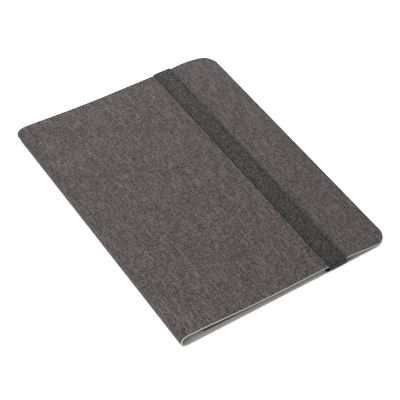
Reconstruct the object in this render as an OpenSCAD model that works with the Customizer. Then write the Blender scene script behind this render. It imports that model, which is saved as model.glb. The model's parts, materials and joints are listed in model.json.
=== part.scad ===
// Folding keyboard case for a ten-inch tablet, closed and empty.
// X runs from the spine to the opening edge, Y along the spine, Z up from the table.
// The origin is under the middle of the closed case.

/* [Case] */
// Width of the closed case, from the spine to the opening edge
case_w = 199; // [195:1:205]
// Length of the case along the spine
case_l = 265; // [262:1:270]
// Corner radius of the covers at the opening edge
corner_r = 12.5; // [8:0.5:25]
// Height of the closed case at the spine
spine_h = 13; // [12.5:0.1:14]
// Height of the closed case at the stand crease
crease_h = 8.5; // [8.4:0.1:9]
// Height of the closed case at the opening edge
edge_h = 3.3; // [3.2:0.1:3.8]

/* [Cover layers] */
// Outer fabric thickness
fabric_t = 0.4; // [0.3:0.05:0.4]
// Stiff board thickness
board_t = 0.6; // [0.4:0.1:0.6]
// Inner lining thickness
lining_t = 0.3; // [0.2:0.05:0.3]

/* [Tablet tray] */
// Thickness of the tray board
tray_t = 0.6; // [0.4:0.1:0.6]
// Thickness of the soft pad on the tray
pad_t = 0.3; // [0.2:0.05:0.3]
// Thickness of the elastic corner straps
strap_t = 0.5; // [0.3:0.1:0.5]
// Width of the elastic corner straps
strap_w = 11; // [8:1:14]
// Distance from a tray corner to the strap, along each edge
strap_reach = 22; // [18:1:26]

/* [Elastic band] */
// Width of the closing band
band_w = 17; // [14:1:20]
// Thickness of the closing band
band_t = 1; // [0.8:0.1:1.2]
// Middle of the band, from the spine
band_x = 146.8; // [140:0.2:150]

/* [Keyboard] */
// Depth of the keyboard, from its spine side to its front edge
keyboard_d = 140; // [138:1:141]
// Length of the keyboard along the spine
keyboard_l = 258; // [248:1:258]
// Height of the keyboard deck above the table
deck_h = 4.4; // [4.4:0.1:4.6]
// Spacing of the keys
key_pitch = 17.2; // [16:0.1:17.4]
// Gap between neighbouring keys
key_gap = 2.2; // [1.8:0.1:3]
// How far a key cap stands above the deck
key_rise = 0.9; // [0.8:0.1:0.9]

/* [Hidden] */
// Spine: three flat strips and four pivots round a half turn.
spine_r = spine_h / 2;
cover_t = fabric_t + board_t + lining_t;
spine_mid_r = spine_r - cover_t / 2;
strips = 3;
// Cutting shapes run this far past the solids that they cut.
cut_over = 1;
// Steps in a quarter turn of a cover corner, a plain corner, a small corner and a key corner.
cover_steps = 12;
corner_steps = 8;
small_steps = 4;
key_steps = 3;
strip_angle = 180 / (strips + 1);
// The pivots lie where the flattened strips keep the length of the round spine.
pivot_line_r = spine_r * (strip_angle * PI / 360) / tan(strip_angle / 2);
strip_end_gap = 0.15;

// Front cover profile: a soft shoulder, a nearly flat middle and a pinched outer edge.
crease_x = 99;
crease_gap = 0.4;
shoulder = 12;
fall_power = 1.9;
middle_fall = 0.8;
pinch_x = 158;
pinch_power = 1.5;
profile_step = 4;

// Tablet tray inside the front cover.
tray_x0 = 16;
tray_x1 = 180;
tray_l = 244;
tray_corner_r = 8;
tray_gap = 0.1;
tray_bond_margin = 4;
bond_x0 = 20;
bond_x1 = 92;
tray_top = cover_t + tray_gap;
pad_top = tray_top + tray_t;

// Keyboard inside the back cover.
keyboard_x0 = 20;
keyboard_corner_r = 6;
bond_t = 0.15;
bond_margin = 2;
bond_corner_r = 5;
keyboard_z0 = cover_t + bond_t;
shell_floor = 0.6;
shell_wall = 1.3;
deck_t = 0.7;
deck_z0 = deck_h - deck_t;
inner_z0 = keyboard_z0 + shell_floor;
key_field_x0 = 50;
function_d = 11;
key_columns = 14;
key_field_l = key_columns * key_pitch;
key_corner_r = 1.4;
key_clear = 0.35;
arrow_clear = 0.3;
arrow_gap = 1;
arrow_corner_r = 1;
key_sink = 0.1;
rows_x0 = key_field_x0 + function_d;

// Membrane layers under the keys.
plate_t = 0.4;
membrane_t = 0.2;
dome_sheet_t = 0.2;
dome_r = 3;
dome_h = 0.2;
layer_gap = 0.05;
strap_top = pad_top + pad_t + layer_gap;
plate_z0 = inner_z0 + layer_gap;
membrane_z0 = plate_z0 + plate_t + layer_gap;
dome_z0 = membrane_z0 + membrane_t + layer_gap;
layers_margin = 1;
layers_corner_r = 2;
letter_rows = 5;
layers_x0 = key_field_x0 - layers_margin;
layers_d = function_d + letter_rows * key_pitch + 2 * layers_margin;
layers_l = key_field_l + 2 * layers_margin;

// Rear strip of the keyboard: battery, circuit board, switch, button, lights and port.
rear_x0 = keyboard_x0 + 3.5;
rear_d = 22;
battery_l = 110;
battery_t = 1.5;
battery_corner_r = 1.5;
circuit_y0 = 64;
circuit_l = 50;
circuit_t = 0.6;
port_x = 34;
port_size = [7.6, 6, 2.3];
port_wall = 0.3;
port_z0 = keyboard_z0 + port_wall;
switch_at = [34, -104];
switch_slot = [3, 7];
switch_knob = [2.2, 3.6];
switch_end_gap = 0.4;
switch_sink = 0.5;
switch_rise = 0.4;
button_at = [34, -86];
button_size = [3.4, 6];
button_corner_r = 1.2;
button_sink = 0.4;
button_rise = 0.5;
light_at = [34, 86];
light_pitch = 6;
light_count = 3;
light_size = [1.6, 2.6];
light_corner_r = 0.6;
light_rise = 0.05;
bumper_r = 2.5;
bumper_h = 0.6;
bumper_places = [[28, 114], [153.5, 70]];

// Closing band and its anchors.
band_gap = 0.05;
band_side_gap = 0.1;
anchor_t = 0.4;
anchor_margin = 1.5;
anchor_end_gap = 0.2;
anchor_y = 129.4;
anchor_end_y = case_l / 2 - anchor_end_gap;
band_foot_y = 129.7;
band_foot_t = 0.7;

// Keys as [row, first column, width in columns]; row 0 is the half-height function row.
function key_run(row, first, count, width = 1) =
    [for (i = [0 : count - 1]) [row, first + i * width, width]];
function_keys_list = key_run(0, 0, 14);
number_keys_list = key_run(1, 0, 12);
backspace_list = [[1, 12, 2]];
tab_list = [[2, 0, 1.5]];
top_letters_list = concat(key_run(2, 1.5, 11), [[2, 12.5, 1.5]]);
caps_lock_list = [[3, 0, 1.75]];
home_letters_list = key_run(3, 1.75, 10);
enter_list = [[3, 11.75, 2.25]];
left_shift_list = [[4, 0, 2.25]];
bottom_letters_list = key_run(4, 2.25, 10);
right_shift_list = [[4, 12.25, 1.75]];
modifier_list = concat(key_run(5, 0, 4), key_run(5, 9, 2));
space_list = [[5, 4, 5]];
arrow_sides_list = [[5, 11, 1], [5, 13, 1]];
arrow_middle = [5, 12, 1];
all_full_keys = concat(
    function_keys_list, number_keys_list, backspace_list, tab_list, top_letters_list, caps_lock_list,
    home_letters_list, enter_list, left_shift_list, bottom_letters_list, right_shift_list,
    modifier_list, space_list, arrow_sides_list);

fabric_colour = "#5e5856";
board_colour = "#b5afa8";
lining_colour = "#8a8683";
elastic_colour = "#3f4240";
shell_colour = "#2b2c2e";
key_colour = "#1d1e20";
bond_colour = "#d8d4c4";
steel_colour = "#a9adb0";
film_colour = "#c9cfd2";
rubber_colour = "#6d7073";
battery_colour = "#c3c6c9";
circuit_colour = "#2f5d3a";
light_colour = "#e8efe9";
bumper_colour = "#18191a";
switch_colour = "#0f1011";
button_colour = "#3a3c3f";
tray_colour = "#4a4b4d";

// ---- Shapes and profiles ----

// Height of the front cover's outer face at x.
function front_half_h(x) =
    let (reach = crease_x - spine_r)
    let (run = (norm([x - spine_r, shoulder]) - shoulder) / (norm([reach, shoulder]) - shoulder))
    crease_h + (spine_h - crease_h) * pow(max(0, 1 - run), fall_power);
function flap_line_h(x) = crease_h - middle_fall * (x - crease_x) / (pinch_x - crease_x);
function flap_h(x) =
    let (run = max(0, (x - pinch_x) / (case_w - pinch_x)))
    flap_line_h(x) - (flap_line_h(case_w) - edge_h) * pow(sin(90 * run), pinch_power);
function cover_h(x) = x < spine_r ? spine_h : x < crease_x ? front_half_h(x) : flap_h(x);

// Stations along a stretch of the profile; all layers share the ones between their ends.
function stations(x0, x1) = concat(
    [x0],
    [for (i = [floor(x0 / profile_step) + 1 : ceil(x1 / profile_step) - 1]) i * profile_step],
    [x1]);

// Corner arc from angle a to a + 90 round [x, y].
function arc_points(x, y, r, a, n) =
    [for (i = [0 : n]) [x + r * cos(a + 90 * i / n), y + r * sin(a + 90 * i / n)]];

// Rectangle centred on the origin with four round corners.
function rounded(w, d, r, n) = concat(
    arc_points(w / 2 - r, d / 2 - r, r, 0, n), arc_points(r - w / 2, d / 2 - r, r, 90, n),
    arc_points(r - w / 2, r - d / 2, r, 180, n), arc_points(w / 2 - r, r - d / 2, r, 270, n));

// Moves a shape drawn from the spine's outer face into the case frame.
module from_spine() {
    translate([-case_w / 2, 0, 0]) children();
}

// A rounded slab from x0 to x1, centred on y, between two heights.
module slab(x0, x1, length, z0, z1, r, y = 0, n = corner_steps) {
    translate([(x0 + x1) / 2, y, z0])
        linear_extrude(height = z1 - z0) polygon(rounded(x1 - x0, length, r, n));
}

// Extrudes an X-Z outline along the spine.
module along_spine(length, outline) {
    rotate([90, 0, 0]) linear_extrude(height = length, center = true) polygon(outline);
}

// Plan of a cover between x0 and x1, with round corners where it reaches the opening edge.
module cover_plan(x0, x1, r) {
    half = case_l / 2;
    polygon(concat(
        [[x0, half], [x0, -half]], arc_points(x1 - r, r - half, r, 270, cover_steps),
        arc_points(x1 - r, half - r, r, 0, cover_steps)));
}

// A sheet that follows the front cover, from "above" over its outer face to "below" under it.
module profile_sheet(x0, x1, length, above, below) {
    along = stations(x0, x1);
    back = [for (i = [len(along) - 1 : -1 : 0]) along[i]];
    along_spine(length, concat(
        [for (x = along) [x, cover_h(x) + above]], [for (x = back) [x, cover_h(x) - below]]));
}

// ---- Back cover ----

// One flat layer of the back cover; its spine end is mitred to meet the first strip.
module back_layer(z0, z1) {
    from_spine() intersection() {
        translate([0, 0, z0]) linear_extrude(height = z1 - z0) cover_plan(0, case_w, corner_r);
        along_spine(case_l + 2 * cut_over, spine_end_outline(z0, z1));
    }
}

// X-Z outline that trims a flat layer at the first pivot.
function spine_end_x(z) =
    spine_r - min(spine_r - z, pivot_line_r) * tan(strip_angle / 2) + strip_end_gap;
function spine_end_outline(z0, z1) =
    let (pivot_z = spine_r - pivot_line_r)
    let (edge = z0 < pivot_z && pivot_z < z1 ? [z0, pivot_z, z1] : [z0, z1])
    concat(
        [for (z = edge) [spine_end_x(z), z]], [[case_w + cut_over, z1], [case_w + cut_over, z0]]);

module back_cover_fabric() {
    color(fabric_colour) back_layer(0, fabric_t);
}

module back_cover_board() {
    color(board_colour) back_layer(fabric_t, fabric_t + board_t);
}

module back_cover_lining() {
    color(lining_colour) back_layer(fabric_t + board_t, cover_t);
}

module band_anchor_tabs() {
    width = band_w + 2 * anchor_margin;
    color(elastic_colour) from_spine() for (side = [-1, 1])
        translate([band_x - width / 2, side > 0 ? anchor_y : -anchor_end_y, cover_t])
            cube([width, anchor_end_y - anchor_y, anchor_t]);
}

// ---- Keyboard ----

// Place and size of a key in the case plan.
function key_x0(k) = k[0] == 0 ? key_field_x0 : rows_x0 + (k[0] - 1) * key_pitch;
function key_d(k) = k[0] == 0 ? function_d : key_pitch;
function key_y(k) = -key_field_l / 2 + (k[1] + k[2] / 2) * key_pitch;

// Plan of one key, grown by "clear" on every side.
module key_plan(k, clear) {
    size = [key_d(k) - key_gap + 2 * clear, k[2] * key_pitch - key_gap + 2 * clear];
    translate([key_x0(k) + key_d(k) / 2, key_y(k)])
        polygon(rounded(size[0], size[1], key_corner_r + clear, key_steps));
}

// The two stacked half keys between the left and right arrows.
module arrow_pair_plan(clear) {
    whole = key_pitch - key_gap;
    half = (whole - arrow_gap) / 2;
    middle_x = key_x0(arrow_middle) + key_pitch / 2;
    for (side = [-1, 1])
        translate([middle_x + side * (half + arrow_gap) / 2, key_y(arrow_middle)])
            polygon(rounded(half + 2 * min(clear, arrow_clear), whole + 2 * clear,
                arrow_corner_r, key_steps));
}

module key_caps(list) {
    color(key_colour) from_spine() translate([0, 0, deck_h - key_sink])
        linear_extrude(height = key_rise + key_sink) for (k = list) key_plan(k, 0);
}

module keyboard_bond_sheet() {
    color(bond_colour) from_spine()
        slab(keyboard_x0 + bond_margin, keyboard_x0 + keyboard_d - bond_margin,
            keyboard_l - 2 * bond_margin, cover_t, keyboard_z0, bond_corner_r);
}

module port_space(grow) {
    translate([port_x - port_size[0] / 2 - grow, keyboard_l / 2 - port_size[1], port_z0 - grow])
        cube([port_size[0] + 2 * grow, port_size[1] + cut_over, port_size[2] + 2 * grow]);
}

module keyboard_bottom_shell() {
    x1 = keyboard_x0 + keyboard_d;
    color(shell_colour) from_spine() difference() {
        slab(keyboard_x0, x1, keyboard_l, keyboard_z0, deck_z0, keyboard_corner_r);
        slab(keyboard_x0 + shell_wall, x1 - shell_wall, keyboard_l - 2 * shell_wall,
            inner_z0, deck_h, keyboard_corner_r - shell_wall);
        port_space(layer_gap);
    }
}

module layer_slab(z0, thickness) {
    slab(layers_x0, layers_x0 + layers_d, layers_l, z0, z0 + thickness, layers_corner_r);
}

module keyboard_back_plate() {
    color(steel_colour) from_spine() layer_slab(plate_z0, plate_t);
}

module key_membrane() {
    color(film_colour) from_spine() layer_slab(membrane_z0, membrane_t);
}

module rubber_dome_sheet() {
    color(rubber_colour) from_spine() union() {
        layer_slab(dome_z0, dome_sheet_t);
        for (k = concat(all_full_keys, [arrow_middle]))
            translate([key_x0(k) + key_d(k) / 2, key_y(k), dome_z0])
                cylinder(r = dome_r, h = dome_sheet_t + dome_h, $fn = 24);
    }
}

module keyboard_deck() {
    color(shell_colour) from_spine() difference() {
        slab(keyboard_x0, keyboard_x0 + keyboard_d, keyboard_l, deck_z0, deck_h, keyboard_corner_r);
        translate([0, 0, deck_z0 - cut_over]) linear_extrude(height = deck_t + 2 * cut_over) {
            for (k = all_full_keys) key_plan(k, key_clear);
            arrow_pair_plan(key_clear);
        }
        translate([switch_at[0], switch_at[1], deck_z0 + deck_t / 2])
            cube([switch_slot[0], switch_slot[1], deck_t + 2 * cut_over], center = true);
        slab(button_at[0] - button_size[0] / 2, button_at[0] + button_size[0] / 2, button_size[1],
            deck_z0 - cut_over, deck_h + cut_over, button_corner_r, button_at[1], small_steps);
        for (i = [0 : light_count - 1])
            light_block(i, layer_gap, deck_z0 - cut_over, deck_h + cut_over);
        port_space(layer_gap);
    }
}

module keyboard_battery() {
    color(battery_colour) from_spine()
        slab(rear_x0, rear_x0 + rear_d, battery_l, plate_z0, plate_z0 + battery_t, battery_corner_r);
}

module keyboard_circuit_board() {
    color(circuit_colour) from_spine() difference() {
        translate([rear_x0, circuit_y0, plate_z0]) cube([rear_d, circuit_l, circuit_t]);
        port_space(layer_gap);
    }
}

module charging_port() {
    color(steel_colour) from_spine() difference() {
        translate([port_x - port_size[0] / 2, keyboard_l / 2 - port_size[1], port_z0]) cube(port_size);
        translate([port_x - port_size[0] / 2 + port_wall, keyboard_l / 2 - port_size[1] + port_wall,
            port_z0 + port_wall])
            cube([port_size[0] - 2 * port_wall, port_size[1], port_size[2] - 2 * port_wall]);
    }
}

module light_block(i, grow, z0, z1) {
    slab(light_at[0] - light_size[0] / 2 - grow, light_at[0] + light_size[0] / 2 + grow,
        light_size[1] + 2 * grow, z0, z1, light_corner_r, light_at[1] + i * light_pitch, small_steps);
}

module status_lights() {
    color(light_colour) from_spine() for (i = [0 : light_count - 1])
        light_block(i, 0, plate_z0 + circuit_t + layer_gap, deck_h + light_rise);
}

module deck_bumpers() {
    color(bumper_colour) from_spine() for (place = bumper_places, side = [-1, 1])
        translate([place[0], side * place[1], deck_h]) cylinder(r = bumper_r, h = bumper_h, $fn = 32);
}

module power_switch() {
    color(switch_colour) from_spine()
        translate([switch_at[0] - switch_knob[0] / 2,
            switch_at[1] - switch_slot[1] / 2 + switch_end_gap, deck_z0 - switch_sink])
            cube([switch_knob[0], switch_knob[1], switch_sink + deck_t + switch_rise]);
}

module pairing_button() {
    half = button_size[0] / 2 - key_clear;
    color(button_colour) from_spine()
        slab(button_at[0] - half, button_at[0] + half, button_size[1] - 2 * key_clear,
            deck_z0 - button_sink, deck_h + button_rise, button_corner_r - key_clear, button_at[1],
            small_steps);
}

module function_keys() { key_caps(function_keys_list); }
module number_keys() { key_caps(number_keys_list); }
module backspace_key() { key_caps(backspace_list); }
module tab_key() { key_caps(tab_list); }
module top_letter_keys() { key_caps(top_letters_list); }
module caps_lock_key() { key_caps(caps_lock_list); }
module home_letter_keys() { key_caps(home_letters_list); }
module enter_key() { key_caps(enter_list); }
module left_shift_key() { key_caps(left_shift_list); }
module bottom_letter_keys() { key_caps(bottom_letters_list); }
module right_shift_key() { key_caps(right_shift_list); }
module modifier_keys() { key_caps(modifier_list); }
module space_bar() { key_caps(space_list); }

module arrow_keys() {
    key_caps(arrow_sides_list);
    color(key_colour) from_spine() translate([0, 0, deck_h - key_sink])
        linear_extrude(height = key_rise + key_sink) arrow_pair_plan(0);
}

// ---- Spine ----

// Half the width of a strip at radius r from the spine's centre.
function strip_half(r) = min(r, pivot_line_r) * tan(strip_angle / 2) - strip_end_gap;

// Strip number i, between two radii; its outline is drawn with the radius along -Y and then turned.
module spine_strip(i, r_out, r_in) {
    radii = r_out > pivot_line_r && pivot_line_r > r_in ? [r_out, pivot_line_r, r_in] : [r_out, r_in];
    up = [for (j = [len(radii) - 1 : -1 : 0]) radii[j]];
    outline = concat(
        [for (r = radii) [strip_half(r), -r]], [for (r = up) [-strip_half(r), -r]]);
    from_spine() translate([spine_r, 0, spine_r]) rotate([0, i * strip_angle, 0])
        along_spine(case_l, outline);
}

module lower_spine_fabric() { color(fabric_colour) spine_strip(1, spine_r, spine_mid_r); }
module lower_spine_lining() { color(lining_colour) spine_strip(1, spine_mid_r, spine_r - cover_t); }
module middle_spine_fabric() { color(fabric_colour) spine_strip(2, spine_r, spine_mid_r); }
module middle_spine_lining() { color(lining_colour) spine_strip(2, spine_mid_r, spine_r - cover_t); }
module upper_spine_fabric() { color(fabric_colour) spine_strip(3, spine_r, spine_mid_r); }
module upper_spine_lining() { color(lining_colour) spine_strip(3, spine_mid_r, spine_r - cover_t); }

// ---- Front cover, spine side ----

// One layer of the spine-side half; its spine end is mitred like the back cover's.
module front_layer(top, bottom) {
    from_spine() intersection() {
        profile_sheet(0, crease_x - crease_gap / 2, case_l, -top, bottom);
        translate([0, 0, spine_h]) mirror([0, 0, 1])
            along_spine(case_l + 2 * cut_over, spine_end_wide_outline());
    }
}

// The mitre over the whole thickness of the cover, drawn from the outer face inwards.
function spine_end_wide_outline() =
    let (depths = [-cut_over, spine_r - pivot_line_r, spine_h])
    let (far_x = case_w + cut_over)
    concat([for (z = depths) [spine_end_x(z), z]], [[far_x, spine_h], [far_x, -cut_over]]);

module front_cover_fabric() {
    color(fabric_colour) front_layer(0, fabric_t);
}

module front_cover_board() {
    color(board_colour) front_layer(fabric_t, fabric_t + board_t);
}

module front_cover_lining() {
    color(lining_colour) front_layer(fabric_t + board_t, cover_t);
}

module tray_bond_sheet() {
    color(bond_colour) from_spine()
        profile_sheet(bond_x0, bond_x1, tray_l - 2 * tray_bond_margin, -cover_t, tray_top);
}

// Plan of the tray.
module tray_plan() {
    translate([(tray_x0 + tray_x1) / 2, 0])
        polygon(rounded(tray_x1 - tray_x0, tray_l, tray_corner_r, corner_steps));
}

module tray_layer(top, bottom) {
    from_spine() intersection() {
        profile_sheet(tray_x0 - cut_over, tray_x1 + cut_over, tray_l + cut_over, -top, bottom);
        linear_extrude(height = spine_h) tray_plan();
    }
}

module tablet_tray() {
    color(tray_colour) tray_layer(tray_top, pad_top);
}

module tray_pad() {
    color(lining_colour) tray_layer(pad_top, pad_top + pad_t);
}

// Elastic strap across one corner of the tray.
module corner_strap(x_end, y_side) {
    corner_x = x_end > 0 ? tray_x1 : tray_x0;
    centre = [corner_x - x_end * strap_reach / 2, y_side * (tray_l - strap_reach) / 2];
    color(elastic_colour) from_spine() intersection() {
        profile_sheet(tray_x0 - cut_over, tray_x1 + cut_over, tray_l + cut_over, -strap_top,
            strap_top + strap_t);
        linear_extrude(height = spine_h) intersection() {
            tray_plan();
            translate(centre) rotate(-45 * x_end * y_side)
                square([2 * strap_reach, strap_w], center = true);
        }
    }
}

module corner_strap_front_spine() { corner_strap(-1, -1); }
module corner_strap_back_spine() { corner_strap(-1, 1); }
module corner_strap_front_edge() { corner_strap(1, -1); }
module corner_strap_back_edge() { corner_strap(1, 1); }

// ---- Front cover, stand flap ----

module flap_layer(top, bottom) {
    from_spine() intersection() {
        profile_sheet(crease_x + crease_gap / 2, case_w, case_l, -top, bottom);
        linear_extrude(height = spine_h) cover_plan(crease_x, case_w, corner_r);
    }
}

module stand_flap_fabric() {
    color(fabric_colour) flap_layer(0, fabric_t);
}

module stand_flap_board() {
    color(board_colour) flap_layer(fabric_t, fabric_t + board_t);
}

module stand_flap_lining() {
    color(lining_colour) flap_layer(fabric_t + board_t, cover_t);
}

// ---- Closing band ----

module elastic_band() {
    x0 = band_x - band_w / 2;
    x1 = band_x + band_w / 2;
    side_y = case_l / 2 + band_side_gap;
    foot_z = cover_t + anchor_t + band_gap;
    color(elastic_colour) from_spine() union() {
        profile_sheet(x0, x1, 2 * (side_y + band_t), band_t + band_gap, -band_gap);
        for (side = [-1, 1]) {
            translate([x0, side > 0 ? side_y : -side_y - band_t, foot_z])
                cube([band_w, band_t, cover_h(x1) + band_gap + band_t / 2 - foot_z]);
            translate([x0, side > 0 ? band_foot_y : -side_y - band_t, foot_z])
                cube([band_w, side_y + band_t - band_foot_y, band_foot_t]);
        }
    }
}

back_cover_fabric();
back_cover_board();
back_cover_lining();
band_anchor_tabs();
keyboard_bond_sheet();
keyboard_bottom_shell();
keyboard_back_plate();
key_membrane();
rubber_dome_sheet();
keyboard_deck();
keyboard_battery();
keyboard_circuit_board();
charging_port();
status_lights();
deck_bumpers();
power_switch();
pairing_button();
function_keys();
number_keys();
backspace_key();
tab_key();
top_letter_keys();
caps_lock_key();
home_letter_keys();
enter_key();
left_shift_key();
bottom_letter_keys();
right_shift_key();
modifier_keys();
space_bar();
arrow_keys();
lower_spine_fabric();
lower_spine_lining();
middle_spine_fabric();
middle_spine_lining();
upper_spine_fabric();
upper_spine_lining();
front_cover_fabric();
front_cover_board();
front_cover_lining();
tray_bond_sheet();
tablet_tray();
tray_pad();
corner_strap_front_spine();
corner_strap_back_spine();
corner_strap_front_edge();
corner_strap_back_edge();
stand_flap_fabric();
stand_flap_board();
stand_flap_lining();
elastic_band();
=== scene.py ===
"""Folding keyboard case for a ten-inch tablet, closed and empty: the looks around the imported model."""

import json
import math
from collections import namedtuple

import bmesh
import bpy
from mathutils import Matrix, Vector

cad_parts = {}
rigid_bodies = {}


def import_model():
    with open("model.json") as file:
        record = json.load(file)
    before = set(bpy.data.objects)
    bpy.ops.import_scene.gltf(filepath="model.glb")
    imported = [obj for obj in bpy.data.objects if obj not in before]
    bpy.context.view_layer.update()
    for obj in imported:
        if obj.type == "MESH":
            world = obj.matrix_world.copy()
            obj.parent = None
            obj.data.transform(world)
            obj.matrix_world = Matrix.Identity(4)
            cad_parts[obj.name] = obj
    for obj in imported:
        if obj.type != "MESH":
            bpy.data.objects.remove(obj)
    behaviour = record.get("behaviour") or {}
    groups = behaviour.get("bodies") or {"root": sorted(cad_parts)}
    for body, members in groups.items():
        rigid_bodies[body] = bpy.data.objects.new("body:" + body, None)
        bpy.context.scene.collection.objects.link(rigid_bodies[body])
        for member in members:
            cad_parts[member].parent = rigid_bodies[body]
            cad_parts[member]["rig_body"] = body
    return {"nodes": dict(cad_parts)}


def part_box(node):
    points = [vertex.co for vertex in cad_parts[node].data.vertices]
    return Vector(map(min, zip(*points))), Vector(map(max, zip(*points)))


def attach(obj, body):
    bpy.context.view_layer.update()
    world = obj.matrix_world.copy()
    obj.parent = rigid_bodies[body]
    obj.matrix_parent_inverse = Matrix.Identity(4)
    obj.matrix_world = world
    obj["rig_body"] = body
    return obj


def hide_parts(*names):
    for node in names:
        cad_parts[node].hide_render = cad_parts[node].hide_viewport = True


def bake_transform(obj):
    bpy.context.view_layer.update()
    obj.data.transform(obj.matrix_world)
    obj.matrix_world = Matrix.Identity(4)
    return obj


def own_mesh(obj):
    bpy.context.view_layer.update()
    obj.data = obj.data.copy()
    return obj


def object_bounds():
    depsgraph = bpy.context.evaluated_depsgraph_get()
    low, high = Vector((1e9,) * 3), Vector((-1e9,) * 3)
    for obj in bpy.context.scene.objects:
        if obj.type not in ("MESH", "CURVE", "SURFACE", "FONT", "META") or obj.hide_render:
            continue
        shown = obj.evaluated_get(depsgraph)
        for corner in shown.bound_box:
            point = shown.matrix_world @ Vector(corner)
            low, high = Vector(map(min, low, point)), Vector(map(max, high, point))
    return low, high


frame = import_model()
cad_lo, cad_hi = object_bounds()
nodes = frame["nodes"]
MM = 0.001

# ---- Sizes, from the frame ----

back_lo, back_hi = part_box("back_cover_fabric")
front_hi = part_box("front_cover_fabric")[1]
flap_lo, flap_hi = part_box("stand_flap_fabric")
band_lo, band_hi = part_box("elastic_band")
cover_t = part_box("back_cover_lining")[1].z
case_l = back_hi.y - back_lo.y
edge_x = back_hi.x
spine_r = front_hi.z / 2
spine_x = cad_lo.x + spine_r
crease_x = (front_hi.x + flap_lo.x) / 2
crease_h = flap_hi.z

# ---- Shape of the covers ----

EDGE_H = 3.3 * MM
BACK_BULGE = 2.0 * MM
CORNER_R = 12.5 * MM
SHOULDER = 12 * MM
FALL_POWER = 1.9
MIDDLE_FALL = 0.8 * MM
PINCH_X = cad_lo.x + 158 * MM
PINCH_POWER = 1.5
CREASE_HALF = 2 * MM
SPINE_BLOCKS = 4
BLOCK_STEPS = 24
CORNER_STEPS = 20
STATION_STEP = 2 * MM
CREASE_STEP = STATION_STEP / 8
BACK_STEP = 4 * MM
# How far to each side the slope of the front cover is taken.
SLOPE_REACH = 0.05 * MM
COLUMNS = 24
# Depths under the outer face at which the fabric ends and the lining starts.
FABRIC_DEPTH = 0.25 * MM
LINING_DEPTH = 0.95 * MM

Station = namedtuple("Station", "x z nx nz half u lift", defaults=(0,))


# ---- Camera, floor and light ----

CAMERA_AZIMUTH = math.radians(-32.74)
CAMERA_ELEVATION = math.radians(47.58)
CAMERA_DISTANCE = 1.1306
CAMERA_TARGET = Vector((-0.0044, -0.0116, 0))
CAMERA_LENS = 122.16
FLOOR_REACH = 4.0
# The floor lies just under the case, so the two faces don't meet.
FLOOR_DROP = 0.02 * MM


def direction(azimuth, elevation):
    """Unit vector from the case towards a place given by its azimuth and elevation."""
    flat = math.cos(elevation)
    return Vector((math.sin(azimuth) * flat, -math.cos(azimuth) * flat, math.sin(elevation)))


def add_camera():
    camera = bpy.data.objects.new("camera", bpy.data.cameras.new("camera"))
    bpy.context.scene.collection.objects.link(camera)
    back = direction(CAMERA_AZIMUTH, CAMERA_ELEVATION)
    camera.location = CAMERA_TARGET + back * CAMERA_DISTANCE
    camera.rotation_mode = "QUATERNION"
    camera.rotation_quaternion = (-back).to_track_quat("-Z", "Y")
    camera.data.lens = CAMERA_LENS
    bpy.context.scene.camera = camera


def add_softbox(name, azimuth, elevation, distance, size, power):
    """A square area light that faces the case."""
    light = bpy.data.lights.new(name, "AREA")
    light.size = size
    light.energy = power
    box = bpy.data.objects.new(name, light)
    bpy.context.scene.collection.objects.link(box)
    towards = direction(math.radians(azimuth), math.radians(elevation))
    box.location = towards * distance
    box.rotation_mode = "QUATERNION"
    box.rotation_quaternion = (-towards).to_track_quat("-Z", "Y")


def add_world(strength):
    world = bpy.data.worlds.new("studio")
    world.use_nodes = True
    background = world.node_tree.nodes["Background"]
    background.inputs["Color"].default_value = (1, 1, 1, 1)
    background.inputs["Strength"].default_value = strength
    bpy.context.scene.world = world


# ---- Materials ----


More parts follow.
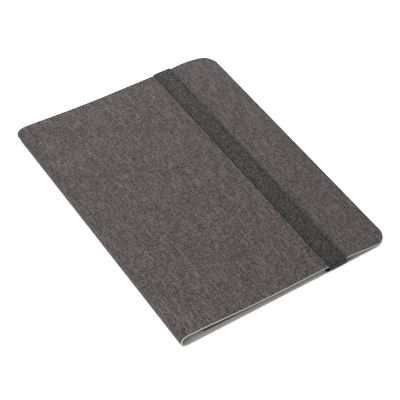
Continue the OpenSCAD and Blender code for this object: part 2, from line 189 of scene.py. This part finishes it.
class Surface:
    """A material with a short way to wire its nodes."""

    def __init__(self, name, **values):
        self.material = bpy.data.materials.new(name)
        self.material.use_nodes = True
        self.tree = self.material.node_tree
        self.shader = self.tree.nodes["Principled BSDF"]
        for key, value in values.items():
            self.shader.inputs[key.replace("_", " ")].default_value = value

    def feed(self, socket, value):
        if isinstance(value, bpy.types.NodeSocket):
            self.tree.links.new(value, socket)
        else:
            socket.default_value = value

    def node(self, kind, inputs, **settings):
        """A node whose inputs are given by index or by name."""
        made = self.tree.nodes.new(kind)
        for key, value in settings.items():
            setattr(made, key, value)
        for key, value in inputs.items():
            self.feed(made.inputs[key], value)
        return made

    def math(self, operation, a, b=0.0, clamp=False):
        inputs = {0: a, 1: b}
        return self.node("ShaderNodeMath", inputs, operation=operation, use_clamp=clamp).outputs[0]

    def join(self, x, y, z=0.0):
        return self.node("ShaderNodeCombineXYZ", {0: x, 1: y, 2: z}).outputs[0]

    def noise(self, vector, scale=1.0, detail=1.0):
        inputs = {"Vector": vector, "Scale": scale, "Detail": detail}
        return self.node("ShaderNodeTexNoise", inputs).outputs[0]

    def spread(self, value, low, high, to_low=0.0, to_high=1.0):
        """Stretches low..high to to_low..to_high and clips what lies outside."""
        inputs = {0: value, 1: low, 2: high, 3: to_low, 4: to_high}
        return self.node("ShaderNodeMapRange", inputs).outputs[0]

    def blend(self, share, a, b):
        """A colour from a to b."""
        made = self.node("ShaderNodeMix", {0: share, 6: a, 7: b}, data_type="RGBA")
        return made.outputs[2]

    def mix(self, share, a, b):
        """A number from a to b."""
        made = self.node("ShaderNodeMix", {0: share, 2: a, 3: b}, data_type="FLOAT")
        return made.outputs[0]

    def track(self, across, pitch, share):
        """1 on a narrow line every "pitch" millimetres, and 0 between the lines."""
        inside = self.math("FRACT", self.math("DIVIDE", across, pitch))
        return self.math("LESS_THAN", inside, share)

    def chance(self, vector):
        """A random number from 0 to 1 for each vector."""
        return self.node("ShaderNodeTexWhiteNoise", {"Vector": vector}).outputs[0]

    def slubs(self, across, along, wide, long, seed, share, strength):
        """Lighter lengths of yarn, staggered from row to row: 0 to "strength"."""
        row = self.math("FLOOR", self.math("DIVIDE", across, wide))
        shift = self.chance(self.join(row, seed, 0.5))
        place = self.math("FLOOR", self.math("ADD", self.math("DIVIDE", along, long), shift))
        pick = self.chance(self.join(row, place, seed))
        return self.spread(pick, 1 - share, 1.0, 0.0, strength)

    def uv(self):
        """The two coordinates along the surface, in millimetres."""
        place = self.node("ShaderNodeTexCoord", {}).outputs["UV"]
        apart = self.node("ShaderNodeSeparateXYZ", {0: place})
        return apart.outputs[0], apart.outputs[1]

    def place(self):
        """Position in the frame, in millimetres."""
        place = self.node("ShaderNodeTexCoord", {}).outputs["Object"]
        inputs = {0: place, "Scale": 1 / MM}
        return self.node("ShaderNodeVectorMath", inputs, operation="SCALE").outputs[0]

    def split(self, vector):
        apart = self.node("ShaderNodeSeparateXYZ", {0: vector})
        return apart.outputs[0], apart.outputs[1], apart.outputs[2]

    def thread(self, across, pitch):
        """The index of a thread and the height of its round top, 0 to 1."""
        turns = self.math("DIVIDE", across, pitch)
        index = self.math("FLOOR", turns)
        inside = self.math("FRACT", turns)
        ridge = self.math("SINE", self.math("MULTIPLY", inside, math.pi))
        return index, ridge

    def finish(self, colour, height, depth, strength=1.0, roughness=None):
        """Wires the colour, a bump "depth" metres deep, and a varied roughness."""
        self.feed(self.shader.inputs["Base Color"], colour)
        inputs = {"Strength": strength, "Distance": depth, "Height": height}
        bump = self.node("ShaderNodeBump", inputs).outputs[0]
        self.feed(self.shader.inputs["Normal"], bump)
        if roughness is not None:
            self.feed(self.shader.inputs["Roughness"], roughness)
        return self.material


def grey(level, red=1.0, blue=1.0):
    """A grey colour with its red and its blue scaled."""
    return (level * red, level, level * blue, 1)


WEAVE_DARK = grey(0.005, 1.18, 0.97)
WEAVE_LIGHT = grey(0.048, 1.18, 0.97)
# Lighter yarn: width and length in millimetres, seed, share of the yarn, strength.
WARP_SLUBS = ((0.42, 7.0, 80.5, 0.12, 0.75), (0.42, 0.55, 120.5, 0.60, 0.85))
WEFT_SLUBS = ((0.5, 3.0, 160.5, 0.12, 0.45),)
WARP_PITCH = 0.45
WEFT_PITCH = 0.50
# How far apart neighbouring threads sample the noise, so that they don't match.
WARP_JUMP = 7.31
WEFT_JUMP = 5.77
WEFT_SEED = 40.0
WEAVE_DEPTH = 0.08 * MM


def cover_weave():
    """Heathered plain weave, with lengths of lighter yarn both ways, and painted shade between the
    threads.
    """
    s = Surface(
        "cover_weave", Roughness=0.9, Specular_IOR_Level=0.1, Sheen_Weight=0.06, Sheen_Roughness=0.45
    )
    u, v = s.uv()
    warp, warp_ridge = s.thread(u, WARP_PITCH)
    weft, weft_ridge = s.thread(v, WEFT_PITCH)
    warp_at = s.join(s.math("MULTIPLY", warp, WARP_JUMP), s.math("MULTIPLY", v, 0.45))
    weft_at = s.join(s.math("MULTIPLY", u, 0.75), s.math("MULTIPLY", weft, WEFT_JUMP), WEFT_SEED)
    warp_tone = s.spread(s.noise(warp_at), 0.4, 0.7, 0.0, 0.1)
    weft_tone = s.spread(s.noise(weft_at), 0.4, 0.7, 0.0, 0.1)
    slubs = [s.slubs(u, v, *yarn) for yarn in WARP_SLUBS]
    slubs += [s.slubs(v, u, *yarn) for yarn in WEFT_SLUBS]
    over = s.math("FLOORED_MODULO", s.math("ADD", warp, weft), 2.0)
    on_top = s.spread(over, 0.0, 1.0, 0.3, 0.8)
    tone = s.mix(on_top, weft_tone, warp_tone)
    cloudy = s.spread(s.noise(s.join(u, v), 0.03, 2.0), 0.3, 0.7, -0.02, 0.02)
    for part in (*slubs, cloudy):
        tone = s.math("ADD", tone, part)
    height = s.mix(over, weft_ridge, warp_ridge)
    # Painted shade: the colour darkens where the threads dip between each other.
    thread_gap_shade = s.spread(height, 0.0, 0.45, 0.6, 1.0)
    tone = s.math("MULTIPLY", tone, thread_gap_shade, clamp=True)
    colour = s.blend(tone, WEAVE_DARK, WEAVE_LIGHT)
    rough = s.spread(tone, 0.0, 1.0, 0.95, 0.82)
    return s.finish(colour, height, WEAVE_DEPTH, 0.6, rough)


def cut_board():
    """Cut edge of the cover's stiffener: pale, with faint plies and loose fibres."""
    s = Surface("cut_board", Roughness=0.85)
    x, y, z = s.split(s.place())
    along_x = s.math("MULTIPLY", x, 0.3)
    along_y = s.math("MULTIPLY", y, 0.3)
    plies = s.noise(s.join(along_x, along_y, s.math("MULTIPLY", z, 6.0)))
    fibres = s.noise(s.place(), 2.2, 3.0)
    tone = s.spread(s.math("ADD", plies, fibres), 0.8, 1.2)
    colour = s.blend(tone, grey(0.19, 1.05, 0.93), grey(0.30, 1.05, 0.93))
    return s.finish(colour, fibres, 0.08 * MM)


def brushed_lining(name, dark, light):
    """Short-napped microfibre: soft cloudy brush marks and a fine nap."""
    s = Surface(name, Roughness=0.95, Specular_IOR_Level=0.1, Sheen_Weight=0.12, Sheen_Roughness=0.5)
    u, v = s.uv()
    nap = s.noise(s.join(s.math("MULTIPLY", u, 2.6), s.math("MULTIPLY", v, 1.4)), 1.0, 3.0)
    brush = s.noise(s.join(s.math("MULTIPLY", u, 0.10), s.math("MULTIPLY", v, 0.035)), 1.0, 3.0)
    tone = s.math("ADD", s.spread(nap, 0.3, 0.7, 0.0, 0.55), s.spread(brush, 0.3, 0.7, 0.0, 0.45))
    return s.finish(s.blend(tone, dark, light), nap, 0.10 * MM, 0.7)


RIB_PITCH = 0.62
STITCH_PITCH = 0.55
# Places across the elastic, in millimetres, of darker lines and lighter cords, and their tone; the darker
# lines are painted shade in the grooves and on the rounded edges.
BAND_CORDS_AND_GROOVE_SHADE = ((0.1, 0.1), (1.1, 2.2), (2.1, 0.1), (14.8, 0.1), (15.8, 2.2), (16.9, 0.1))
STRAP_CORDS = ()


def knitted_elastic(name, dark, light, cords_and_groove_shade):
    """Narrow woven elastic: round ribs along it, crossed by slanted stitches, with painted shade in their
    dips.
    """
    s = Surface(name, Roughness=0.8, Specular_IOR_Level=0.1, Sheen_Weight=0.04, Sheen_Roughness=0.4)
    u, v = s.uv()
    rib, rib_ridge = s.thread(u, RIB_PITCH)
    lean = s.math("ADD", v, s.math("MULTIPLY", u, 0.45))
    stitch_ridge = s.thread(s.math("ADD", lean, s.math("MULTIPLY", rib, 0.31)), STITCH_PITCH)[1]
    height = s.math("ADD", s.math("MULTIPLY", rib_ridge, 0.6), s.math("MULTIPLY", stitch_ridge, 0.4))
    yarn = s.noise(s.join(s.math("MULTIPLY", rib, 3.7), s.math("MULTIPLY", v, 0.4)), 1.0, 1.0)
    # Painted shade: the colour darkens where the ribs and stitches dip.
    relief = s.spread(height, 0.2, 1.0, 0.35, 1.0)
    tone = s.math("MULTIPLY", relief, s.spread(yarn, 0.42, 0.66, 0.0, 1.6))
    # Painted shade: a factor below 1 darkens the grooves and the rounded edges.
    for cord, change in cords_and_groove_shade:
        away = s.math("ABSOLUTE", s.math("SUBTRACT", u, cord))
        tone = s.math("MULTIPLY", tone, s.spread(away, 0.2, 0.5, change, 1.0))
    rough = s.spread(height, 0.0, 1.0, 0.9, 0.7)
    return s.finish(s.blend(tone, dark, light), height, 0.10 * MM, 0.8, rough)


def moulded_plastic(name, dark, light, rough_low, rough_high, grain=3.0, depth=0.02 * MM):
    """Moulded plastic or rubber with an eroded grain and a few wiped patches."""
    s = Surface(name, Roughness=rough_high, Specular_IOR_Level=0.3)
    place = s.place()
    fine = s.noise(place, grain, 4.0)
    wiped = s.noise(place, 0.05, 2.0)
    colour = s.blend(s.spread(s.noise(place, 0.35, 3.0), 0.35, 0.65), dark, light)
    wear = s.math("ADD", wiped, s.math("MULTIPLY", fine, 0.3))
    rough = s.spread(wear, 0.5, 0.8, rough_low, rough_high)
    return s.finish(colour, fine, depth, 0.8, rough)


def rolled_metal(name, dark, light, roughness):
    """Sheet metal with fine rolling lines along the case."""
    s = Surface(name, Metallic=1.0, Roughness=roughness)
    x, y, z = s.split(s.place())
    lines = s.noise(s.join(s.math("MULTIPLY", x, 9.0), s.math("MULTIPLY", y, 0.2), z), 1.0, 3.0)
    tone = s.spread(lines, 0.3, 0.7)
    rough = s.spread(lines, 0.3, 0.7, roughness - 0.08, roughness + 0.1)
    return s.finish(s.blend(tone, dark, light), lines, 0.005 * MM, 0.5, rough)


def printed_film():
    """Switch membrane: clear film with silver tracks on a square grid."""
    s = Surface("printed_film", Roughness=0.35)
    x, y = s.split(s.place())[:2]
    tracks = s.math("MAXIMUM", s.track(x, 4.3, 0.12), s.track(y, 8.6, 0.06))
    haze = s.noise(s.place(), 0.4, 2.0)
    film = s.blend(haze, grey(0.35), grey(0.5))
    return s.finish(s.blend(tracks, film, grey(0.12)), tracks, 0.02 * MM, 0.5)


def circuit_laminate():
    """Green laminate with copper tracks under the varnish."""
    s = Surface("circuit_laminate", Roughness=0.4)
    x, y = s.split(s.place())[:2]
    tracks = s.math("MAXIMUM", s.track(x, 1.9, 0.3), s.track(y, 3.1, 0.2))
    patches = s.spread(s.noise(s.place(), 0.12, 1.0), 0.48, 0.52)
    copper = s.math("MULTIPLY", tracks, patches)
    colour = s.blend(copper, (0.012, 0.055, 0.022, 1), (0.03, 0.12, 0.045, 1))
    return s.finish(colour, copper, 0.03 * MM, 0.6)


def foil_pouch():
    """Aluminium laminate of a flat battery, slightly wrinkled."""
    s = Surface("foil_pouch", Metallic=0.8, Roughness=0.4)
    wrinkles = s.noise(s.place(), 0.25, 4.0)
    colour = s.blend(s.spread(wrinkles, 0.3, 0.7), grey(0.4), grey(0.62))
    return s.finish(colour, wrinkles, 0.2 * MM, 0.5)


def glue_film():
    """Double-sided adhesive film with a fine scrim."""
    s = Surface("glue_film", Roughness=0.5)
    x, y = s.split(s.place())[:2]
    scrim = s.math("MAXIMUM", s.track(x, 1.2, 0.15), s.track(y, 1.2, 0.15))
    haze = s.noise(s.place(), 0.3, 3.0)
    film = s.blend(haze, grey(0.42, 1.06, 0.92), grey(0.55, 1.06, 0.92))
    return s.finish(s.blend(scrim, film, grey(0.62)), scrim, 0.02 * MM, 0.6)


def light_lens():
    """Milky light guide with slight clouding."""
    s = Surface("light_lens", Roughness=0.3, Coat_Weight=0.3)
    cloud = s.noise(s.place(), 1.5, 3.0)
    return s.finish(s.blend(cloud, grey(0.5), grey(0.75)), cloud, 0.01 * MM, 0.4)


def pale_floor():
    s = Surface("pale_floor", Roughness=0.9)
    speckle = s.noise(s.place(), 0.05, 3.0)
    return s.finish(s.blend(speckle, grey(0.60), grey(0.64)), speckle, 0.02 * MM, 0.2)


# ---- Building pieces ----


def link(name, mesh):
    piece = bpy.data.objects.new(name, mesh)
    bpy.context.scene.collection.objects.link(piece)
    return piece


def smooth(mesh, angle=35):
    mesh.shade_smooth()
    mesh.set_sharp_from_angle(angle=math.radians(angle))


def build(name, points, faces, uvs, material):
    """A closed piece from its faces, with one UV pair for each corner of each face."""
    mesh = bpy.data.meshes.new(name)
    mesh.from_pydata(points, [], faces)
    layer = mesh.uv_layers.new(name="UVMap")
    layer.data.foreach_set("uv", [value for face in uvs for corner in face for value in corner])
    outward = bmesh.new()
    outward.from_mesh(mesh)
    bmesh.ops.recalc_face_normals(outward, faces=outward.faces)
    outward.to_mesh(mesh)
    outward.free()
    mesh.materials.append(material)
    smooth(mesh)
    return link(name, mesh)


def grid_piece(name, rings, ring_uvs, material):
    """A closed piece lofted through rings of points, with a flat cap on both ends."""
    count = len(rings[0])
    points = [point for ring in rings for point in ring]
    faces = []
    uvs = []
    for i in range(len(rings) - 1):
        for j in range(count):
            k = (j + 1) % count
            faces.append([i * count + j, (i + 1) * count + j, (i + 1) * count + k, i * count + k])
            far = j + 1
            uvs.append([ring_uvs[i][j], ring_uvs[i + 1][j], ring_uvs[i + 1][far], ring_uvs[i][far]])
    for i in (0, len(rings) - 1):
        faces.append([i * count + j for j in range(count)])
        uvs.append([ring_uvs[i][j] for j in range(count)])
    return build(name, points, faces, uvs, material)


def softened(node, width, material, across=None):
    """A copy of a CAD node with its sharp edges rounded, which stands for the node."""
    source = nodes[node]
    mesh = source.data.copy()
    work = bmesh.new()
    work.from_mesh(mesh)
    bmesh.ops.remove_doubles(work, verts=work.verts, dist=0.001 * MM)
    bmesh.ops.dissolve_limit(work, angle_limit=math.radians(1), verts=work.verts, edges=work.edges)
    sharp = [e for e in work.edges if e.is_manifold and e.calc_face_angle() > math.radians(40)]
    bmesh.ops.bevel(
        work, geom=sharp, offset=width, segments=2, affect="EDGES", profile=0.5, clamp_overlap=True
    )
    work.to_mesh(mesh)
    work.free()
    mesh.materials.clear()
    mesh.materials.append(material)
    smooth(mesh, 50)
    if across is not None:
        flat_uv(mesh, across)
    piece = link(node + "_piece", mesh)
    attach(piece, source["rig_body"])
    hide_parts(node)
    return piece


def flat_uv(mesh, across):
    """UVs in millimetres from above: u along the direction "across", v square to it."""
    for layer in list(mesh.uv_layers):
        mesh.uv_layers.remove(layer)
    layer = mesh.uv_layers.new(name="UVMap")
    for loop in mesh.loops:
        x, y, z = mesh.vertices[loop.vertex_index].co / MM
        layer.data[loop.index].uv = (x * across[0] + y * across[1], y * across[0] - x * across[1])


# ---- Covers ----


def flap_line(x):
    return crease_h - MIDDLE_FALL * (x - crease_x) / (PINCH_X - crease_x)


def pinch_run(x):
    """Share of the way from the start of the pinch to the opening edge."""
    return max(0, (x - PINCH_X) / (edge_x - PINCH_X))


def cover_h(x):
    """Height of the front cover's outer face at the front end of the case."""
    if x <= crease_x:
        whole = math.hypot(crease_x - spine_x, SHOULDER) - SHOULDER
        run = (math.hypot(x - spine_x, SHOULDER) - SHOULDER) / whole
        return crease_h + (2 * spine_r - crease_h) * max(0, 1 - run) ** FALL_POWER
    fall = math.sin(math.pi / 2 * pinch_run(x)) ** PINCH_POWER
    return flap_line(x) - (flap_line(edge_x) - EDGE_H) * fall


def spread_evenly(start, end, step):
    count = max(2, math.ceil(abs(end - start) / step))
    return [start + (end - start) * i / count for i in range(count + 1)]


def corner_places():
    """(x, half-width) round the corner at the opening edge, from its inner end to the edge."""
    turns = [math.pi / 2 * i / CORNER_STEPS for i in range(CORNER_STEPS + 1)]
    return [
        (edge_x - CORNER_R + CORNER_R * math.sin(a), case_l / 2 - CORNER_R + CORNER_R * math.cos(a))
        for a in turns
    ]


def top_stations(places, u):
    """Stations on the front cover, at (x, half-width) places in order away from the spine."""
    made = []
    for x, half in places:
        behind = max(x - SLOPE_REACH, spine_x)
        ahead = min(x + SLOPE_REACH, edge_x)
        slope = (cover_h(ahead) - cover_h(behind)) / (ahead - behind)
        length = math.hypot(1, slope)
        z = cover_h(x)
        if made:
            u += math.hypot(x - made[-1].x, z - made[-1].z)
        lift = BACK_BULGE * math.sin(math.pi * pinch_run(x))
        made.append(Station(x, z, -slope / length, 1 / length, half, u, lift))
    return made


def case_sections():
    """The stations of each section of the case, from the back cover's edge to the flap's edge."""
    half = case_l / 2
    places = corner_places()[::-1]
    places += [(x, half) for x in spread_evenly(edge_x - CORNER_R, spine_x, BACK_STEP)[1:]]
    sections = {"back_cover": [Station(x, 0, 0, -1, h, edge_x - x) for x, h in places]}
    u = edge_x - spine_x
    turn = math.pi / SPINE_BLOCKS
    for block in range(SPINE_BLOCKS):
        angles = [turn * (block + i / BLOCK_STEPS) for i in range(BLOCK_STEPS + 1)]
        sections[f"spine_{block + 1}"] = [
            Station(
                spine_x - spine_r * math.sin(a), spine_r - spine_r * math.cos(a),
                -math.sin(a), -math.cos(a), half, u + spine_r * a,
            )
            for a in angles
        ]
    u += spine_r * math.pi
    crease_start = crease_x - CREASE_HALF
    crease_end = crease_x + CREASE_HALF
    spans = {
        "front_cover": spread_evenly(spine_x, crease_start, STATION_STEP),
        "crease": spread_evenly(crease_start, crease_end, CREASE_STEP),
        "stand_flap": spread_evenly(crease_end, edge_x - CORNER_R, STATION_STEP)[:-1],
    }
    for section, run in spans.items():
        span = [(x, half) for x in run]
        if section == "stand_flap":
            span += corner_places()
        sections[section] = top_stations(span, u)
        u = sections[section][-1].u
    return sections


def sheet_point(s, y, depth):
    """A point under the outer face; the flap bulges towards the back end of the case."""
    twist = s.lift * (y / case_l + 0.5)
    return (s.x - s.nx * depth, y, s.z - s.nz * depth + twist)


def sheet_piece(name, stations, outer, inner, material):
    """A closed layer of the cover between two depths under its outer face."""
    columns = [2 * j / COLUMNS - 1 for j in range(COLUMNS + 1)]
    rings = []
    ring_uvs = []
    for s in stations:
        upper = [sheet_point(s, c * s.half, outer) for c in columns]
        lower = [sheet_point(s, c * s.half, inner) for c in columns[::-1]]
        rings.append(upper + lower)
        flat = [(s.u / MM, c * s.half / MM) for c in columns]
        ring_uvs.append(flat + flat[::-1] + flat[:1])
    return grid_piece(name, rings, ring_uvs, material)


SECTION_BODIES = {
    "back_cover": ["back_cover"],
    "spine_1": ["back_cover", "lower_spine"],
    "spine_2": ["lower_spine", "middle_spine"],
    "spine_3": ["middle_spine", "upper_spine"],
    "spine_4": ["upper_spine", "front_cover"],
    "front_cover": ["front_cover"],
    "crease": ["front_cover", "stand_flap"],
    "stand_flap": ["stand_flap"],
}
SECTION_NODES = {
    "back_cover": "back_cover",
    "spine_1": "lower_spine",
    "spine_2": "middle_spine",
    "spine_3": "upper_spine",
    "front_cover": "front_cover",
    "stand_flap": "stand_flap",
}


def add_covers(weave, board, lining):
    """Fabric, stiffener and lining of every section; the pieces of the spine and the crease, which span
    two bodies, are left unattached.
    """
    layers = (
        ("fabric", 0, FABRIC_DEPTH, weave, "cover_fabric"),
        ("board", FABRIC_DEPTH, LINING_DEPTH, board, "cover_board"),
        ("lining", LINING_DEPTH, cover_t, lining, "cover_lining"),
    )
    for section, stations in case_sections().items():
        bodies = SECTION_BODIES[section]
        for layer, outer, inner, material, slot in layers:
            piece = sheet_piece(f"{section}_{layer}_sheet", stations, outer, inner, material)
            if len(bodies) == 1:
                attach(piece, bodies[0])
            else:
                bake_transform(piece)
            node = f"{SECTION_NODES.get(section, 'no')}_{layer}"
            if node in nodes:
                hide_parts(node)


# ---- Elastic band ----

BAND_T = 1.0 * MM
BAND_FOOT_T = 0.7 * MM
BAND_FOOT_L = 3.9 * MM
BAND_GAP = 0.05 * MM
BAND_TURN_R = 0.7 * MM
BAND_LANES = 44
BAND_TURN_STEPS = 6
BAND_EDGE_R = 0.35 * MM
# Share of the edges' rounding that the underside has.
BAND_UNDERSIDE = 0.25
BAND_FOOT_STEPS = 4
BAND_HALF_STEPS = 12
# Grooves beside the edge cords, as places across the band and their depths and widths.
BAND_GROOVES = ((2.1 * MM, 0.3 * MM, 0.3 * MM), (14.8 * MM, 0.3 * MM, 0.3 * MM))


def band_relief(across):
    """How far the band's outer face lies under its full thickness at a place across it."""
    width = band_hi.x - band_lo.x
    relief = sum(d * math.exp(-(((across - at) / w) ** 2)) for at, d, w in BAND_GROOVES)
    to_edge = min(across, width - across)
    if to_edge < BAND_EDGE_R:
        relief += BAND_EDGE_R - math.sqrt(max(0, BAND_EDGE_R**2 - (BAND_EDGE_R - to_edge) ** 2))
    return relief


def band_path(top_z):
    """(y, z, outward y, outward z, thickness) along the middle of the band, foot to foot."""
    side_y = band_hi.y - BAND_T / 2
    foot_z = band_lo.z + BAND_FOOT_T / 2
    foot_y = band_hi.y - BAND_FOOT_L
    r = BAND_TURN_R
    foot_run = side_y - r - foot_y
    half = [
        (foot_y + foot_run * i / BAND_FOOT_STEPS, foot_z, 0, -1, BAND_FOOT_T)
        for i in range(BAND_FOOT_STEPS)
    ]
    for i in range(BAND_TURN_STEPS + 1):
        a = math.pi / 2 * i / BAND_TURN_STEPS
        thick = BAND_FOOT_T + (BAND_T - BAND_FOOT_T) * i / BAND_TURN_STEPS
        y = side_y - r + r * math.sin(a)
        half.append((y, foot_z + r - r * math.cos(a), math.sin(a), -math.cos(a), thick))
    for i in range(BAND_TURN_STEPS + 1):
        a = math.pi / 2 * i / BAND_TURN_STEPS
        y = side_y - r + r * math.cos(a)
        half.append((y, top_z - r + r * math.sin(a), math.cos(a), math.sin(a), BAND_T))
    top_y = side_y - r
    half += [
        (top_y * (1 - i / BAND_HALF_STEPS), top_z, 0, 1, BAND_T) for i in range(1, BAND_HALF_STEPS)
    ]
    other = [(-y, z, -ny, nz, t) for y, z, ny, nz, t in half[::-1]]
    return half + [(0, top_z, 0, 1, BAND_T)] + other


def add_band(material):
    width = band_hi.x - band_lo.x
    lanes = [width * i / BAND_LANES for i in range(BAND_LANES + 1)]
    paths = [band_path(cover_h(band_lo.x + a) + BAND_GAP + BAND_T / 2) for a in lanes]
    rings = []
    ring_uvs = []
    along = 0.0
    for i in range(len(paths[0])):
        outer = []
        inner = []
        for across, path in zip(lanes, paths):
            y, z, ny, nz, thick = path[i]
            relief = band_relief(across)
            lift = thick / 2 - relief * thick / BAND_T
            edge = BAND_UNDERSIDE * relief if min(across, width - across) < BAND_EDGE_R else 0
            outer.append((band_lo.x + across, y + ny * lift, z + nz * lift))
            inner.append((band_lo.x + across, y - ny * (thick / 2 - edge), z - nz * (thick / 2 - edge)))
        if rings:
            middle = paths[0]
            along += math.hypot(middle[i][0] - middle[i - 1][0], middle[i][1] - middle[i - 1][1])
        rings.append(outer + inner[::-1])
        flat = [(across / MM, along / MM) for across in lanes]
        ring_uvs.append(flat + flat[::-1] + flat[:1])
    band = grid_piece("elastic_band_piece", rings, ring_uvs, material)
    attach(band, "closing_band")
    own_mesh(band)
    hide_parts("elastic_band")


# ---- Tray, keyboard and small parts ----

CAP_EDGE = 0.22 * MM
SHELL_EDGE = 0.3 * MM
SHEET_EDGE = 0.08 * MM
KEY_NODES = (
    "function_keys", "number_keys", "backspace_key", "tab_key", "top_letter_keys", "caps_lock_key",
    "home_letter_keys", "enter_key", "left_shift_key", "bottom_letter_keys", "right_shift_key",
    "modifier_keys", "space_bar", "arrow_keys",
)


def add_tray(elastic):
    board = moulded_plastic("tray_board", grey(0.016), grey(0.024), 0.45, 0.6)
    # The tray pad is a darker copy of the lining's microfibre: painted shade for the inside of the closed
    # case.
    pad = brushed_lining("tray_pad", grey(0.03, 1.03, 0.98), grey(0.05, 1.03, 0.98))
    softened("tablet_tray", SHEET_EDGE, board)
    softened("tray_pad", SHEET_EDGE, pad, across=(1, 0))
    slant = math.sqrt(0.5)
    for end in ("front_spine", "back_spine", "front_edge", "back_edge"):
        leans = 1 if end in ("front_spine", "back_edge") else -1
        softened(
            "corner_strap_" + end, 0.12 * MM, elastic, across=(slant * leans, slant)
        )
    softened("band_anchor_tabs", SHEET_EDGE, elastic, across=(1, 0))


def add_keyboard():
    shell_dark = grey(0.010, 1.08, 0.92)
    shell_light = grey(0.016, 1.08, 0.92)
    shell = moulded_plastic("shell_plastic", shell_dark, shell_light, 0.55, 0.68)
    cap = moulded_plastic("key_plastic", grey(0.012), grey(0.018), 0.38, 0.5, 5.0, 0.012 * MM)
    switch = moulded_plastic("switch_plastic", grey(0.03), grey(0.05), 0.35, 0.5)
    rubber = moulded_plastic("bumper_rubber", grey(0.012), grey(0.02), 0.7, 0.85)
    softened("keyboard_bottom_shell", SHELL_EDGE, shell)
    softened("keyboard_deck", CAP_EDGE, shell)
    for node in KEY_NODES:
        softened(node, CAP_EDGE, cap)
    softened("power_switch", 0.1 * MM, switch)
    softened("pairing_button", 0.15 * MM, switch)
    softened("deck_bumpers", 0.15 * MM, rubber)
    steel = rolled_metal("port_steel", grey(0.5), grey(0.65), 0.3)
    softened("charging_port", SHEET_EDGE, steel)


def paint_nodes():
    """Procedural materials for the CAD nodes that are shown as they are."""
    finishes = {
        "keyboard_bond_sheet": glue_film(),
        "keyboard_back_plate": rolled_metal("plate_steel", grey(0.42), grey(0.55), 0.38),
        "key_membrane": printed_film(),
        "rubber_dome_sheet": moulded_plastic("dome_rubber", grey(0.14), grey(0.2), 0.5, 0.65),
        "keyboard_battery": foil_pouch(),
        "keyboard_circuit_board": circuit_laminate(),
        "status_lights": light_lens(),
    }
    finishes["tray_bond_sheet"] = finishes["keyboard_bond_sheet"]
    for node, material in finishes.items():
        nodes[node].data.materials.clear()
        nodes[node].data.materials.append(material)


def add_floor():
    signs = ((-1, -1), (1, -1), (1, 1), (-1, 1))
    mesh = bpy.data.meshes.new("floor")
    points = [(FLOOR_REACH * x, FLOOR_REACH * y, -FLOOR_DROP) for x, y in signs]
    mesh.from_pydata(points, [], [[0, 1, 2, 3]])
    mesh.materials.append(pale_floor())
    link("floor", mesh)


bpy.context.scene.view_settings.view_transform = "Standard"
add_camera()
add_world(2.0)
add_softbox("back_light", azimuth=170, elevation=40, distance=0.6, size=0.4, power=7.5)
add_softbox("front_light", azimuth=-60, elevation=30, distance=0.5, size=0.3, power=4.0)
add_floor()

strap_weave = knitted_elastic("strap_elastic", grey(0.006), grey(0.03), STRAP_CORDS)
weave = cover_weave()
board = cut_board()
lining = brushed_lining("cover_lining", grey(0.11, 1.06, 0.95), grey(0.17, 1.06, 0.95))
add_covers(weave, board, lining)
band_weave = knitted_elastic("band_elastic", grey(0.001, 1.03, 0.93), grey(0.021, 1.03, 0.93), BAND_CORDS_AND_GROOVE_SHADE)
add_band(band_weave)
add_tray(strap_weave)
add_keyboard()
paint_nodes()
